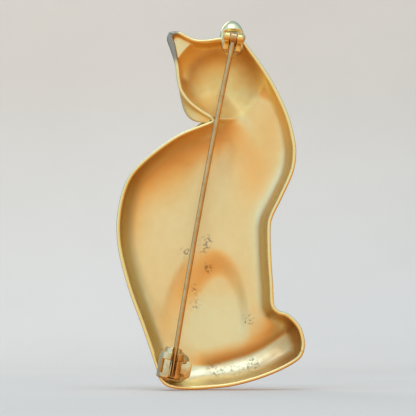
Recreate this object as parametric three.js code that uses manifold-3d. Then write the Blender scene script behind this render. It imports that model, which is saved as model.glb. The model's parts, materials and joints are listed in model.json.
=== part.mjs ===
// Hollow cast brooch in the shape of a sitting cat, with a hinged pin stem and a roll-over safety catch.
// Millimetres, +Z up. The cat's face looks along -Y. The flat back rim lies in the plane y = 0.
import * as THREE from "three";
import { mergeVertices } from "three/addons/utils/BufferGeometryUtils.js";
import Module from "manifold-3d";

const wasm = await Module();
wasm.setup();

// ---- Driving dimensions ----
const BODY_DEPTH = 6.0; // hollow of the body, below the rim plane
const HEAD_DEPTH = 5.8; // hollow of the head
const EAR_DEPTH = 1.0; // hollow of the ear's tip
const WALL = 0.8; // sheet thickness at the floor of the hollow
const RIM_WIDTH = 0.7; // flat land around the back edge
const BACK_ROUND = 5.4; // width of the rounded wall inside the back
const BASE_ROUND = 3.8; // inside the base
const CHEST_ROUND = 2.9; // inside the chest
const HEAD_ROUND = 2.4; // inside the head
const NAPE_ROUND = 3.2; // inside the nape
const EAR_ROUND = 0.5; // inside the ear's tip
const OUTER_ROUND = 3.8; // width of the rounded wall outside
const HEAD_CENTRE = [-1.6, 23.7]; // x, z
const HEAD_RADIUS = 7.9;
const BOWL_RADIUS = 8.6; // where the head's bowl would reach the rim plane
const BOWL_SHAPE_LOW = 0.9; // 0.5 makes the bowl half an ellipse, 1 a parabola
const BOWL_SHAPE_HIGH = 0.5; // in its upper half
const BOWL_TILT = 0.2; // the bowl is this much deeper towards its top
const CREST_LOW = 0.4; // depth of the ridge below the head at the neck notch
const CREST_HIGH = 3.5; // and near the nape
const CHIN_BULGE = 2.3; // how far the chin stands out past the rim
const CHIN_CENTRE = [2.4, 17.9]; // x, z
const CHIN_RADIUS = 3.9;
const HAUNCH_SWELL = 1.5;
const TAIL_SWELL = 0.7;
const FACE_CENTRE = [-0.6, 22.9]; // x, z
const FACE_RADII = [5.4, 4.8]; // the face is flattened within this oval
const FACE_FRONT = HEAD_DEPTH + WALL - 0.2; // distance of the face from the rim plane

const STEM_RADIUS = 0.475;
const STEM_HEIGHT = 2.05; // stem axis behind the rim plane
const STEM_LEAN = THREE.MathUtils.degToRad(10.3); // from the vertical
const STEM_BOW = 0.45; // sideways spring of the stem at mid length
const HINGE_POINT = [-4.4, STEM_HEIGHT, 31.0];
const GAP = 0.05; // solder line between fixed pieces

const RIVET_RADIUS = 0.4;
const EYE_RADIUS = 1.05;
const EYE_WIDTH = 1.3;
const BORE_CLEARANCE = 0.06;
const CHEEK_GAP = 1.5;
const CHEEK_THICKNESS = 0.95;
const CHEEK_TOP = 1.0; // above the rivet
const BRACKET_LENGTH = 2.9; // along the stem
const BRACKET_BASE = 0.42;
const PATCH_THICKNESS = 0.4;

const CATCH_DISTANCE = 62.6; // hinge to the middle of the catch
const CATCH_OFFSET = 0.5; // the stem lies this far off the catch's axis
const HOUSING_RADIUS = 2.4;
const HOUSING_BORE = 2.02;
const HOUSING_LENGTH = 4.8;
const TOP_HOOP = 1.4; // hoops at both ends of the window
const BOTTOM_HOOP = 0.9;
const LIP_RADIUS = 1.6; // the barrel's lower end turns in to this radius
const WINDOW_SILL = -0.9; // the window is cut down to here
const WINDOW_SIDE = 1.75; // and the wall stays beyond here
const ROLLER_RADIUS = 1.95;
const ROLLER_BORE = 1.22;
const COLLAR_RADIUS = 1.6;
const COLLAR_LENGTH = 0.95;
const SLOT_WIDTH = 1.25;
const SLOT_CENTRE = -0.42; // from the catch's axis
const TAB_THICKNESS = 0.6;
const FOOT_HEIGHT = 0.7;
const FOOT_WIDTH = 2.6;
const CATCH_PATCH_THICKNESS = 0.6;
const CATCH_SHIFT = -0.6; // patch and boss keep away from the wall of the shell
const BOSS_SIZE = [4.3, 5.4]; // across and along the stem
const BOSS_CORNER = 1.6;
const BOSS_FLOOR = 5.6;
const BOSS_TAPER = 0.7; // the boss is narrower at the floor

// ---- Materials ----
const finish = (colour, roughness, metalness) =>
  new THREE.MeshStandardMaterial({ color: colour, roughness, metalness });
const satinGold = finish(0xd9b562, 0.38, 1.0);
const polishedGold = finish(0xe6cf95, 0.22, 1.0);
const wireGold = finish(0xc9b27c, 0.25, 1.0);
const solder = finish(0xb98f4e, 0.5, 1.0);
const greenEnamel = finish(0x2f7d4f, 0.12, 0.0);
const blackEnamel = finish(0x111214, 0.1, 0.0);
const roseEnamel = finish(0xb8606a, 0.15, 0.0);

// ---- Solids ----
function toManifold(geometry) {
  const bare = geometry.clone();
  bare.deleteAttribute("normal");
  bare.deleteAttribute("uv");
  const merged = mergeVertices(bare, 1e-5);
  return new wasm.Manifold(
    new wasm.Mesh({
      numProp: 3,
      vertProperties: new Float32Array(merged.attributes.position.array),
      triVerts: new Uint32Array(merged.index.array),
    }),
  );
}

function toGeometry(solid) {
  const mesh = solid.getMesh();
  const geometry = new THREE.BufferGeometry();
  geometry.setAttribute("position", new THREE.BufferAttribute(mesh.vertProperties, 3));
  geometry.setIndex(new THREE.BufferAttribute(mesh.triVerts, 1));
  geometry.computeVertexNormals();
  return geometry;
}

function combine(first, ...steps) {
  let solid = toManifold(first);
  for (const [operation, geometry] of steps) {
    solid = solid[operation](toManifold(geometry));
  }
  return toGeometry(solid);
}

function named(name, geometry, material) {
  const mesh = new THREE.Mesh(geometry, material.clone());
  mesh.name = name;
  return mesh;
}

const box = (width, depth, height, x = 0, y = 0, z = 0) =>
  new THREE.BoxGeometry(width, depth, height).translate(x, y, z);

// ---- Cat outline, seen along +Y: x to the right, z up ----
const points = (list) => list.map(([x, z]) => new THREE.Vector2(x, z));

const RUMP_CORNER = [9.6, -32.9];
const FOOT_TIP = [-17.4, -28.0];
const EAR_TIP = [7.9, 32.7];
const CROWN_CORNER = [-6.2, 31.2];
const NECK_NOTCH = [-0.4, 15.6];

function chain(...lists) {
  const path = new THREE.CurvePath();
  for (const list of lists) {
    path.add(new THREE.SplineCurve(points(list)));
  }
  return path;
}

const base = chain([
  FOOT_TIP, [-16.6, -29.3], [-14.5, -30.7], [-11.3, -32.2], [-7.5, -33.5], [-3.7, -34.4],
  [0.1, -34.8], [3.9, -35.0], [7.2, -34.7], [8.7, -34.0], RUMP_CORNER,
]);

const chestSide = chain([
  FOOT_TIP, [-17.6, -26.2], [-17.0, -23.7], [-15.7, -21.9], [-14.3, -20.8], [-12.8, -20.3],
  [-11.9, -19.1], [-11.7, -15.3], [-11.4, -10.5], [-11.3, -5.2], [-11.7, -2.8], [-13.4, 0.7],
  [-15.6, 5.6], [-16.2, 9.3], [-15.9, 12.3], [-14.9, 16.3], [-13.2, 20.4], [-11.3, 24.0],
  [-8.5, 28.2], CROWN_CORNER,
]);

const backSide = chain(
  [
    RUMP_CORNER, [10.4, -30.2], [12.8, -23.3], [15.3, -16.6], [17.2, -9.6], [17.7, -4.5],
    [17.1, 0.5], [15.7, 4.5], [13.4, 7.4], [9.6, 10.6], [5.8, 13.1], [2.0, 14.7], NECK_NOTCH,
  ],
  [
    NECK_NOTCH, [2.0, 17.1], [4.2, 18.9], [5.8, 21.1], [6.4, 23.4], [6.7, 26.0], [7.5, 28.8],
    [8.3, 31.2], EAR_TIP,
  ],
);

const crown = chain([
  CROWN_CORNER, [-3.9, 31.7], [-1.6, 31.6], [0.5, 31.3], [2.7, 31.3], [4.2, 31.9], [6.0, 32.8], EAR_TIP,
]);

// ---- Grid over the outline: u runs from chest to back, v from base to crown ----
const COLUMNS = 28;
const ROWS = 60;
const EDGE_CROWDING = 0.82; // 0 spaces the grid evenly, 1 crowds it towards the edges

function crowd(t) {
  return THREE.MathUtils.lerp(t, (1 - Math.cos(Math.PI * t)) / 2, EDGE_CROWDING);
}

function patchPoint(u, v) {
  const point = chestSide.getPointAt(v).multiplyScalar(1 - u);
  point.addScaledVector(backSide.getPointAt(v), u);
  point.addScaledVector(base.getPointAt(u), 1 - v);
  point.addScaledVector(crown.getPointAt(u), v);
  point.addScaledVector(base.getPointAt(0), -(1 - u) * (1 - v));
  point.addScaledVector(base.getPointAt(1), -u * (1 - v));
  point.addScaledVector(crown.getPointAt(0), -(1 - u) * v);
  point.addScaledVector(crown.getPointAt(1), -u * v);
  return point;
}

const grid = [];
for (let row = 0; row <= ROWS; row += 1) {
  const line = [];
  for (let column = 0; column <= COLUMNS; column += 1) {
    line.push(patchPoint(crowd(column / COLUMNS), crowd(row / ROWS)));
  }
  grid.push(line);
}

const isEdge = (column, row) => column === 0 || row === 0 || column === COLUMNS || row === ROWS;

const outline = [
  ...grid[0],
  ...grid.slice(1).map((line) => line[COLUMNS]),
  ...grid[ROWS].slice(0, -1).reverse(),
  ...grid.slice(1, -1).map((line) => line[0]).reverse(),
];

function nearestOnOutline(point) {
  const nearest = new THREE.Vector2();
  const side = new THREE.Vector2();
  const foot = new THREE.Vector2();
  let best = Infinity;
  outline.forEach((start, index) => {
    side.subVectors(outline[(index + 1) % outline.length], start);
    foot.subVectors(point, start);
    const along = THREE.MathUtils.clamp(foot.dot(side) / side.lengthSq(), 0, 1);
    foot.copy(start).addScaledVector(side, along);
    const distance = foot.distanceTo(point);
    if (distance < best) {
      best = distance;
      nearest.copy(foot);
    }
  });
  return { distance: best, nearest };
}

// ---- Relief of the casting ----
const { smoothstep, lerp, clamp, radToDeg, degToRad } = THREE.MathUtils;
const bump = (x, z, [cx, cz], rx, rz = rx) => Math.exp(-(((x - cx) / rx) ** 2) - ((z - cz) / rz) ** 2);

// Rises steeply from 0 and levels off softly: 0.97 of the way at 1
const rounded = (t) => Math.sqrt(1 - Math.exp(-2.8 * Math.max(t, 0)));

function smoothMax(first, second, blend) {
  const mix = clamp(0.5 + (0.5 * (first - second)) / blend, 0, 1);
  return lerp(second, first, mix) + blend * mix * (1 - mix);
}

// Distance from the middle of the head, and degrees from straight down, positive towards the chest
function aroundHead(x, z) {
  const dx = x - HEAD_CENTRE[0];
  const dz = z - HEAD_CENTRE[1];
  return { radius: Math.hypot(dx, dz), angle: radToDeg(Math.atan2(-dx, -dz)) };
}

function inEar(x, z) {
  const { radius, angle } = aroundHead(x, z);
  const side = angle < 0 ? angle + 360 : angle;
  const sector = smoothstep(side, 160, 176) * (1 - smoothstep(side, 262, 275));
  return sector * smoothstep(radius, HEAD_RADIUS - 2.5, HEAD_RADIUS - 0.5);
}

const inHead = (x, z) => 1 - smoothstep(aroundHead(x, z).radius, HEAD_RADIUS - 1.0, HEAD_RADIUS + 1.5);

// Swelling of the hind leg: an arch that is crisp towards the chest and fades towards back and base
function haunch(x, z) {
  const fade = smoothstep(x, -3.0, 4.5);
  const radius = Math.hypot((x + 0.5) / lerp(6.6, 8.6, fade), (z + 22.0) / 12.4);
  const arch = 1 - smoothstep(radius, lerp(0.7, 0.4, fade), lerp(1.12, 1.16, fade));
  return HAUNCH_SWELL * arch * smoothstep(z, -30.0, -16.0);
}

// Channel of the tail along the base: the floor dips softly into a crease, then rises to the wall
function tail(x, z) {
  const height = z + 30.6 + 0.29 * Math.min(x, 0) - 0.033 * Math.max(-6 - x, 0) ** 2;
  const above = clamp(height / 3.6, 0, 1);
  const below = clamp(-height / 3.0, 0, 1);
  return TAIL_SWELL * (1 - above) ** 2 * (1 - below) * (1 - smoothstep(x, 0.5, 5.5));
}

// Depth of the cast floor: a round bowl for the head that meets the body's floor in a soft ridge
function floorDepth(x, z, grow = 0) {
  const { radius, angle } = aroundHead(x, z);
  const turn = Math.abs(angle + 8);
  const fade = 1 - smoothstep(turn, 75, 125);
  const crest = lerp(CREST_LOW, CREST_HIGH, smoothstep(turn, 0, 50)) * fade;
  const edge = lerp(HEAD_RADIUS, BOWL_RADIUS, smoothstep(turn, 60, 110)) + grow;
  const shape = lerp(BOWL_SHAPE_LOW, BOWL_SHAPE_HIGH, smoothstep(turn, 50, 120));
  const tilt = 1 - ((BOWL_TILT * radius) / edge) * Math.cos(degToRad(angle));
  const rise = clamp(1 - (radius / edge) ** 2, 0, 1);
  const bowl = crest + (HEAD_DEPTH + grow - crest) * tilt * rise ** shape;
  const steep = rounded((radius - HEAD_RADIUS) / 6.0);
  const gentle = smoothstep(radius, 2, 30);
  const beyond = lerp(steep, gentle, smoothstep(turn, 5, 40));
  let body = lerp(crest, BODY_DEPTH, beyond) + haunch(x, z) + tail(x, z);
  body *= smoothstep(radius, HEAD_RADIUS - 5.0, HEAD_RADIUS) * fade;
  const ear = inEar(x, z);
  body = lerp(body, EAR_DEPTH, ear) + grow;
  return smoothMax(bowl, body, lerp(0.8 + 1.8 * smoothstep(turn, 70, 110), 0.35, ear));
}

// Width of the rounded wall inside the rim: gentle along the back and base, steep at chest and head
function wallReach(x, z) {
  const back = lerp(BASE_ROUND, BACK_ROUND, smoothstep(z, -27, -18));
  const chest = lerp(back, CHEST_ROUND, smoothstep(-x, 3, 9) * smoothstep(z, -25, -20));
  const head = lerp(chest, HEAD_ROUND, inHead(x, z));
  const nape = lerp(head, NAPE_ROUND, smoothstep(-x, 1, 5) * smoothstep(z, 19, 25));
  return lerp(nape, EAR_ROUND, inEar(x, z));
}

// Face and front relief, on the outside only
function frontRelief(x, z) {
  const fx = x - FACE_CENTRE[0];
  const fz = z - FACE_CENTRE[1];
  const cheek = Math.abs(fx);
  let height = 0;
  height += 1.5 * bump(fx, fz, [0, -2.3], 1.9, 1.5); // muzzle
  height += 0.6 * bump(cheek, fz, [1.1, -2.9], 1.3, 1.1); // whisker pads
  height += 0.5 * bump(cheek, fz, [3.6, -2.6], 1.8, 1.6); // cheeks
  height += 0.45 * bump(fx, fz, [0, 0.6], 0.8, 2.4); // bridge of the nose
  height += 0.5 * bump(cheek, fz, [2.9, 3.4], 2.0, 0.9); // brows
  height -= 0.9 * bump(x, z, [6.4, 30.0], 1.2, 1.5); // hollow of the ear
  height += 0.9 * bump(x, z, [-9.2, 6.5], 3.6, 7.0); // chest
  height -= 0.9 * bump(x, z, [-7.6, -12.5], 0.8, 8.5); // groove behind the foreleg
  height -= 0.5 * bump(x, z, [-14.6, -25.5], 0.45, 1.8); // between the toes
  height -= 0.5 * bump(x, z, [-12.8, -24.4], 0.45, 1.6);
  return height;
}

// ---- Cat shell ----
function outerVertex(column, row) {
  const point = grid[row][column];
  const { x, y: z } = point;
  if (isEdge(column, row)) {
    return [x, 0, z];
  }
  const { distance, nearest } = nearestOnOutline(point);
  const wall = rounded(distance / OUTER_ROUND);
  const face = Math.hypot((x - FACE_CENTRE[0]) / FACE_RADII[0], (z - FACE_CENTRE[1]) / FACE_RADII[1]);
  const cast = lerp(floorDepth(x, z, WALL) * wall, FACE_FRONT, 1 - smoothstep(face, 0.7, 1.3));
  const depth = cast + frontRelief(x, z) * wall ** 3;
  const fade = smoothstep(distance, 0.0, 0.5) * (1 - smoothstep(distance, 1.2, 5.0));
  const bulge = CHIN_BULGE * bump(nearest.x, nearest.y, CHIN_CENTRE, CHIN_RADIUS) * fade;
  const outward = nearest.clone().sub(point).multiplyScalar(bulge / distance);
  return [x + outward.x, -depth, z + outward.y];
}

const rimWidth = (x, z) => RIM_WIDTH + 0.6 * bump(x, z, [8.3, 30.3], 1.5, 2.8); // wider beside the ear
const INSET_REACH = 1.9;
const INSET_STEPS = 6;

function innerVertex(column, row) {
  const start = grid[row][column];
  const nextColumn = clamp(column, 1, COLUMNS - 1);
  const nextRow = clamp(row, 1, ROWS - 1);
  const point = start.clone().lerp(grid[nextRow][nextColumn], 0.5);
  const distance = isEdge(column, row) ? 0 : nearestOnOutline(start).distance;
  const rim = rimWidth(start.x, start.y);
  const target = distance + rim * (1 - Math.min(distance / INSET_REACH, 1));
  if (target > distance) {
    for (let step = 0; step < INSET_STEPS; step += 1) {
      const { distance: now, nearest } = nearestOnOutline(point);
      const away = point.clone().sub(nearest).normalize();
      point.addScaledVector(away, target - now);
    }
  }
  const { x, y: z } = point;
  if (isEdge(column, row)) {
    return [x, 0, z];
  }
  const inside = Math.max(nearestOnOutline(point).distance - rim, 0);
  return [x, -floorDepth(x, z) * rounded(inside / wallReach(x, z)), z];
}

function shellGeometry() {
  const geometry = new THREE.BoxGeometry(1, 1, 1, COLUMNS, ROWS, 1);
  const position = geometry.attributes.position;
  for (let index = 0; index < position.count; index += 1) {
    const column = Math.round((position.getX(index) + 0.5) * COLUMNS);
    const row = Math.round((position.getY(index) + 0.5) * ROWS);
    const vertex = position.getZ(index) > 0 ? outerVertex(column, row) : innerVertex(column, row);
    position.setXYZ(index, ...vertex);
  }
  return geometry;
}

// The other ear is a full rounded lump behind the head, with a flat seat for the pin joint
const EAR_LUMP = [-4.1, -1.0, 31.5];
const EAR_LUMP_RADII = [2.35, 2.0, 3.5];
const SEAT_TOP = 33.0;

const earLump = () =>
  new THREE.SphereGeometry(1, 24, 16).scale(...EAR_LUMP_RADII).translate(...EAR_LUMP);
const earSeat = () => box(12, 4, 8, EAR_LUMP[0], 2, SEAT_TOP - 4);
const earHollow = () =>
  new THREE.SphereGeometry(1, 16, 12).scale(1.2, 1.3, 1.5).translate(EAR_LUMP[0] + 0.2, -3.2, 33.2);

// Plate with round corners, thin along y, its top at the given height
function plate(width, length, corner, top, thickness) {
  const w = width / 2 - corner;
  const l = length / 2 - corner;
  const shape = new THREE.Shape();
  shape.absarc(w, l, corner, 0, Math.PI / 2);
  shape.absarc(-w, l, corner, Math.PI / 2, Math.PI);
  shape.absarc(-w, -l, corner, Math.PI, Math.PI * 1.5);
  shape.absarc(w, -l, corner, Math.PI * 1.5, Math.PI * 2);
  const geometry = new THREE.ExtrudeGeometry(shape, {
    depth: thickness,
    bevelEnabled: false,
    curveSegments: 5,
  });
  return geometry.rotateX(Math.PI / 2).translate(0, top, 0);
}

// Solid post in the corner of the hollow that carries the safety catch, narrower at the floor
const CATCH_SEAT = STEM_HEIGHT - HOUSING_RADIUS - GAP; // top of the catch's patch
const PAD_TOP = CATCH_SEAT - CATCH_PATCH_THICKNESS - GAP;

function catchBoss() {
  const boss = plate(...BOSS_SIZE, BOSS_CORNER, PAD_TOP, BOSS_FLOOR + PAD_TOP);
  const position = boss.attributes.position;
  for (let index = 0; index < position.count; index += 1) {
    if (position.getY(index) < -BOSS_FLOOR / 2) {
      position.setX(index, position.getX(index) * BOSS_TAPER);
      position.setZ(index, position.getZ(index) * BOSS_TAPER);
    }
  }
  boss.translate(CATCH_OFFSET + CATCH_SHIFT, 0, -CATCH_DISTANCE).rotateY(-STEM_LEAN);
  return boss.translate(HINGE_POINT[0], 0, HINGE_POINT[2]);
}

// ---- Enamel on the face ----
const EYE_SPACING = 2.9;
const EYE_RAISE = 1.5; // above the face centre
const EYE_HALF = 1.45;
const EYE_HIGH = 0.95;
const NOSE_HALF = 0.8;
const EYE_FLOOR = FACE_FRONT - 0.3; // bottom of the cells, from the rim plane
const NOSE_FLOOR = FACE_FRONT + 0.75;

// Almond made of two arcs, its outer corner lifted
function almond(half, high, tilt) {
  const shape = new THREE.Shape();
  shape.moveTo(-half, 0);
  shape.quadraticCurveTo(0, high * 2, half, 0);
  shape.quadraticCurveTo(0, -high * 1.7, -half, 0);
  const outlinePoints = shape.getPoints(7);
  return new THREE.Shape(outlinePoints.map((point) => point.rotateAround(new THREE.Vector2(), tilt)));
}

function noseShape(half) {
  const shape = new THREE.Shape();
  shape.moveTo(-half, half * 0.55);
  shape.quadraticCurveTo(0, half * 0.95, half, half * 0.55);
  shape.quadraticCurveTo(half * 0.7, -half * 0.3, 0, -half * 0.8);
  shape.quadraticCurveTo(-half * 0.7, -half * 0.3, -half, half * 0.55);
  return shape;
}

// A shape in x, z that reaches from one distance behind the face to another
function slab(shape, from, to, x, z) {
  const geometry = new THREE.ExtrudeGeometry(shape, {
    depth: to - from,
    bevelEnabled: false,
    curveSegments: 6,
  });
  return geometry.rotateX(Math.PI / 2).translate(x, -from, z);
}

const CELL_GAP = 0.06;
const eyes = [
  { side: "left", x: FACE_CENTRE[0] + EYE_SPACING, tilt: 0.22 },
  { side: "right", x: FACE_CENTRE[0] - EYE_SPACING, tilt: -0.22 },
].map((eye) => ({ ...eye, z: FACE_CENTRE[1] + EYE_RAISE }));
const noseZ = FACE_CENTRE[1] - 1.5;

function catShell() {
  const past = FACE_FRONT + 4; // the cells are cut out past the face
  const cuts = [];
  for (const eye of eyes) {
    const cell = almond(EYE_HALF + CELL_GAP, EYE_HIGH + CELL_GAP, eye.tilt);
    cuts.push(["subtract", slab(cell, EYE_FLOOR, past, eye.x, eye.z)]);
  }
  cuts.push(["subtract", slab(noseShape(NOSE_HALF + CELL_GAP), NOSE_FLOOR, past, FACE_CENTRE[0], noseZ)]);
  const lump = combine(earLump(), ["subtract", earSeat()], ["subtract", earHollow()]);
  const casting = combine(shellGeometry(), ["add", lump], ["add", catchBoss()], ...cuts);
  return named("cat_shell", casting, satinGold);
}

function enamelPieces() {
  const pieces = [];
  const pupilFloor = EYE_FLOOR + 0.45;
  const pupil = () => almond(0.85, 0.28, Math.PI / 2);
  for (const eye of eyes) {
    const lens = almond(EYE_HALF, EYE_HIGH, eye.tilt);
    const fill = slab(lens, EYE_FLOOR + CELL_GAP, FACE_FRONT + 0.45, eye.x, eye.z);
    const well = slab(almond(0.9, 0.33, Math.PI / 2), pupilFloor, FACE_FRONT + 2, eye.x, eye.z);
    pieces.push(named(`eye_enamel_${eye.side}`, combine(fill, ["subtract", well]), greenEnamel));
    const slit = slab(pupil(), pupilFloor + CELL_GAP, FACE_FRONT + 0.5, eye.x, eye.z);
    pieces.push(named(`pupil_${eye.side}`, slit, blackEnamel));
  }
  const nose = slab(noseShape(NOSE_HALF), NOSE_FLOOR + CELL_GAP, FACE_FRONT + 1.75, FACE_CENTRE[0], noseZ);
  pieces.push(named("nose_enamel", nose, roseEnamel));
  return pieces;
}

// ---- Pin joint: origin at the rivet, +Z back up along the stem, +X across it ----
const ROUND = 16;
const turned = (profile, segments = ROUND) =>
  new THREE.LatheGeometry(profile.map(([radius, height]) => new THREE.Vector2(radius, height)), segments);

const acrossStem = (radius, width) =>
  new THREE.CylinderGeometry(radius, radius, width, ROUND).rotateZ(Math.PI / 2);

const BRACKET_WIDTH = CHEEK_GAP + 2 * CHEEK_THICKNESS;
const JOINT_SEAT = -STEM_HEIGHT + GAP; // bottom of the joint's patch
const BRACKET_FLOOR = JOINT_SEAT + PATCH_THICKNESS + GAP;

function jointPieces() {
  const patch = plate(4.0, 3.4, 0.8, JOINT_SEAT + PATCH_THICKNESS, PATCH_THICKNESS);
  const hole = acrossStem(RIVET_RADIUS + GAP, BRACKET_WIDTH + 2);
  const bracket = combine(bracketBlank(), ["subtract", hole]);
  const headRadius = 0.75;
  const headHeight = 0.3;
  const half = BRACKET_WIDTH / 2 + GAP;
  const rivet = turned([
    [0, -half - headHeight],
    [headRadius * 0.7, -half - headHeight],
    [headRadius, -half - headHeight * 0.4],
    [headRadius, -half],
    [RIVET_RADIUS, -half],
    [RIVET_RADIUS, half],
    [headRadius, half],
    [headRadius, half + headHeight * 0.4],
    [headRadius * 0.7, half + headHeight],
    [0, half + headHeight],
  ]).rotateZ(Math.PI / 2);
  return [
    named("joint_patch", patch, solder),
    named("joint_bracket", bracket, polishedGold),
    named("joint_rivet", rivet, polishedGold),
  ];
}

// U-shaped blank: a floor and two cheeks with rounded tops
function bracketBlank() {
  const outer = new THREE.Shape();
  const half = BRACKET_LENGTH / 2;
  outer.moveTo(-half, BRACKET_FLOOR);
  outer.lineTo(half, BRACKET_FLOOR);
  outer.lineTo(half, 0);
  outer.absellipse(0, 0, half, CHEEK_TOP, 0, Math.PI);
  const cheeks = new THREE.ExtrudeGeometry(outer, {
    depth: BRACKET_WIDTH,
    bevelEnabled: false,
    curveSegments: 8,
  });
  cheeks.rotateY(-Math.PI / 2).translate(BRACKET_WIDTH / 2, 0, 0);
  const channel = box(CHEEK_GAP, 4, BRACKET_LENGTH + 2, 0, BRACKET_FLOOR + BRACKET_BASE + 2, 0);
  return combine(cheeks, ["subtract", channel]);
}

const STEM_LENGTH = CATCH_DISTANCE + 1.9;
const POINT_LENGTH = 6.5;

// Straight turned wire with a tapered point, bowed a little to one side
function stemWire() {
  const profile = [[0, 0], [STEM_RADIUS, 0]];
  const straight = 14;
  for (let step = 1; step <= straight; step += 1) {
    profile.push([STEM_RADIUS, (-(STEM_LENGTH - POINT_LENGTH) * step) / straight]);
  }
  for (const [radius, left] of [[0.42, 3.0], [0.3, 1.0], [0.18, 0.25], [0, 0]]) {
    profile.push([radius, -(STEM_LENGTH - left)]);
  }
  const wire = turned(profile.reverse(), 12).rotateX(Math.PI / 2);
  const position = wire.attributes.position;
  for (let index = 0; index < position.count; index += 1) {
    const along = -position.getZ(index) / STEM_LENGTH;
    position.setX(index, position.getX(index) + STEM_BOW * 4 * along * (1 - along));
  }
  return wire;
}

function pinStem() {
  const eye = acrossStem(EYE_RADIUS, EYE_WIDTH);
  const bore = acrossStem(RIVET_RADIUS + BORE_CLEARANCE, EYE_WIDTH + 1);
  return named("pin_stem", combine(stemWire(), ["add", eye], ["subtract", bore]), wireGold);
}

// ---- Safety catch: origin on the barrel's axis, +Z back up along the stem ----
const catchSlot = (length) =>
  box(SLOT_WIDTH, HOUSING_RADIUS + 1, length, SLOT_CENTRE, (HOUSING_RADIUS + 1) / 2, 0);

const HALF_HOUSING = HOUSING_LENGTH / 2;
const BARREL_SIDES = 32;

// Barrel with two hoops, a window between them and a foot, its lower end turned in to a lip
function catchHousing() {
  const foot = box(FOOT_WIDTH, FOOT_HEIGHT, HOUSING_LENGTH - 0.6, 0, -HOUSING_RADIUS + FOOT_HEIGHT / 2, 0);
  const footBore = new THREE.CylinderGeometry(HOUSING_BORE, HOUSING_BORE, HOUSING_LENGTH + 2, BARREL_SIDES);
  footBore.rotateX(Math.PI / 2);
  const barrel = turned(
    [
      [HOUSING_BORE, -HALF_HOUSING + 0.3],
      [LIP_RADIUS, -HALF_HOUSING + 0.1],
      [LIP_RADIUS, -HALF_HOUSING - 0.1],
      [HOUSING_RADIUS - 0.4, -HALF_HOUSING],
      [HOUSING_RADIUS, -HALF_HOUSING + 0.4],
      [HOUSING_RADIUS, HALF_HOUSING],
      [HOUSING_BORE, HALF_HOUSING],
      [HOUSING_BORE, -HALF_HOUSING + 0.3],
    ],
    BARREL_SIDES,
  ).rotateX(Math.PI / 2);
  const low = -HALF_HOUSING + BOTTOM_HOOP;
  const high = HALF_HOUSING - TOP_HOOP;
  const left = -HOUSING_RADIUS - 1;
  const window = box(
    WINDOW_SIDE - left, HOUSING_RADIUS + 1 - WINDOW_SILL, high - low,
    (WINDOW_SIDE + left) / 2, (HOUSING_RADIUS + 1 + WINDOW_SILL) / 2, (high + low) / 2,
  );
  const solid = combine(
    barrel,
    ["add", combine(foot, ["subtract", footBore])],
    ["subtract", window],
    ["subtract", catchSlot(HOUSING_LENGTH + 2)],
  );
  return named("catch_housing", solid, polishedGold);
}

// Fan-shaped thumb tab, flat across the barrel
function thumbTab() {
  const shape = new THREE.Shape(points([
    [-1.7, -1.3], [-2.5, -1.3], [-2.75, -1.75], [-3.2, -1.9], [-3.65, -1.6], [-3.8, -0.9], [-3.8, 0.3],
    [-3.65, 1.0], [-3.2, 1.3], [-2.75, 1.2], [-2.5, 0.75], [-1.7, 0.75],
  ]));
  const tab = new THREE.ExtrudeGeometry(shape, { depth: TAB_THICKNESS, bevelEnabled: false });
  return tab.rotateX(Math.PI / 2).translate(0, TAB_THICKNESS / 2, 0);
}

// Turning sleeve with a collar above the barrel
function catchRoller() {
  const low = -HALF_HOUSING + 0.4;
  const high = HALF_HOUSING - 0.1;
  const collarTop = HALF_HOUSING + COLLAR_LENGTH;
  const sleeve = turned(
    [
      [ROLLER_BORE, low],
      [ROLLER_RADIUS, low],
      [ROLLER_RADIUS, high],
      [COLLAR_RADIUS, high + 0.2],
      [COLLAR_RADIUS, collarTop - 0.4],
      [COLLAR_RADIUS - 0.2, collarTop],
      [ROLLER_BORE, collarTop],
      [ROLLER_BORE, low],
    ],
    BARREL_SIDES,
  ).rotateX(Math.PI / 2);
  const solid = combine(sleeve, ["add", thumbTab()], ["subtract", catchSlot(HOUSING_LENGTH + 6)]);
  return named("catch_roller", solid, polishedGold);
}

function catchPatch() {
  const patch = plate(3.9, 5.2, 1.5, CATCH_SEAT - STEM_HEIGHT, CATCH_PATCH_THICKNESS);
  return named("catch_patch", patch.translate(CATCH_SHIFT, 0, 0), solder);
}

// ---- Assembly ----
const pinGroup = new THREE.Group();
pinGroup.position.set(...HINGE_POINT);
pinGroup.rotation.y = -STEM_LEAN;
pinGroup.add(...jointPieces(), pinStem());

const catchGroup = new THREE.Group();
catchGroup.position.set(CATCH_OFFSET, 0, -CATCH_DISTANCE);
catchGroup.add(catchPatch(), catchHousing(), catchRoller());
pinGroup.add(catchGroup);

const brooch = new THREE.Group();
brooch.add(catShell(), ...enamelPieces(), pinGroup);

export default brooch;
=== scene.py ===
import json
import math

import bmesh
import bpy
import numpy as np
from mathutils import Matrix, Vector
from mathutils.kdtree import KDTree


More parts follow.
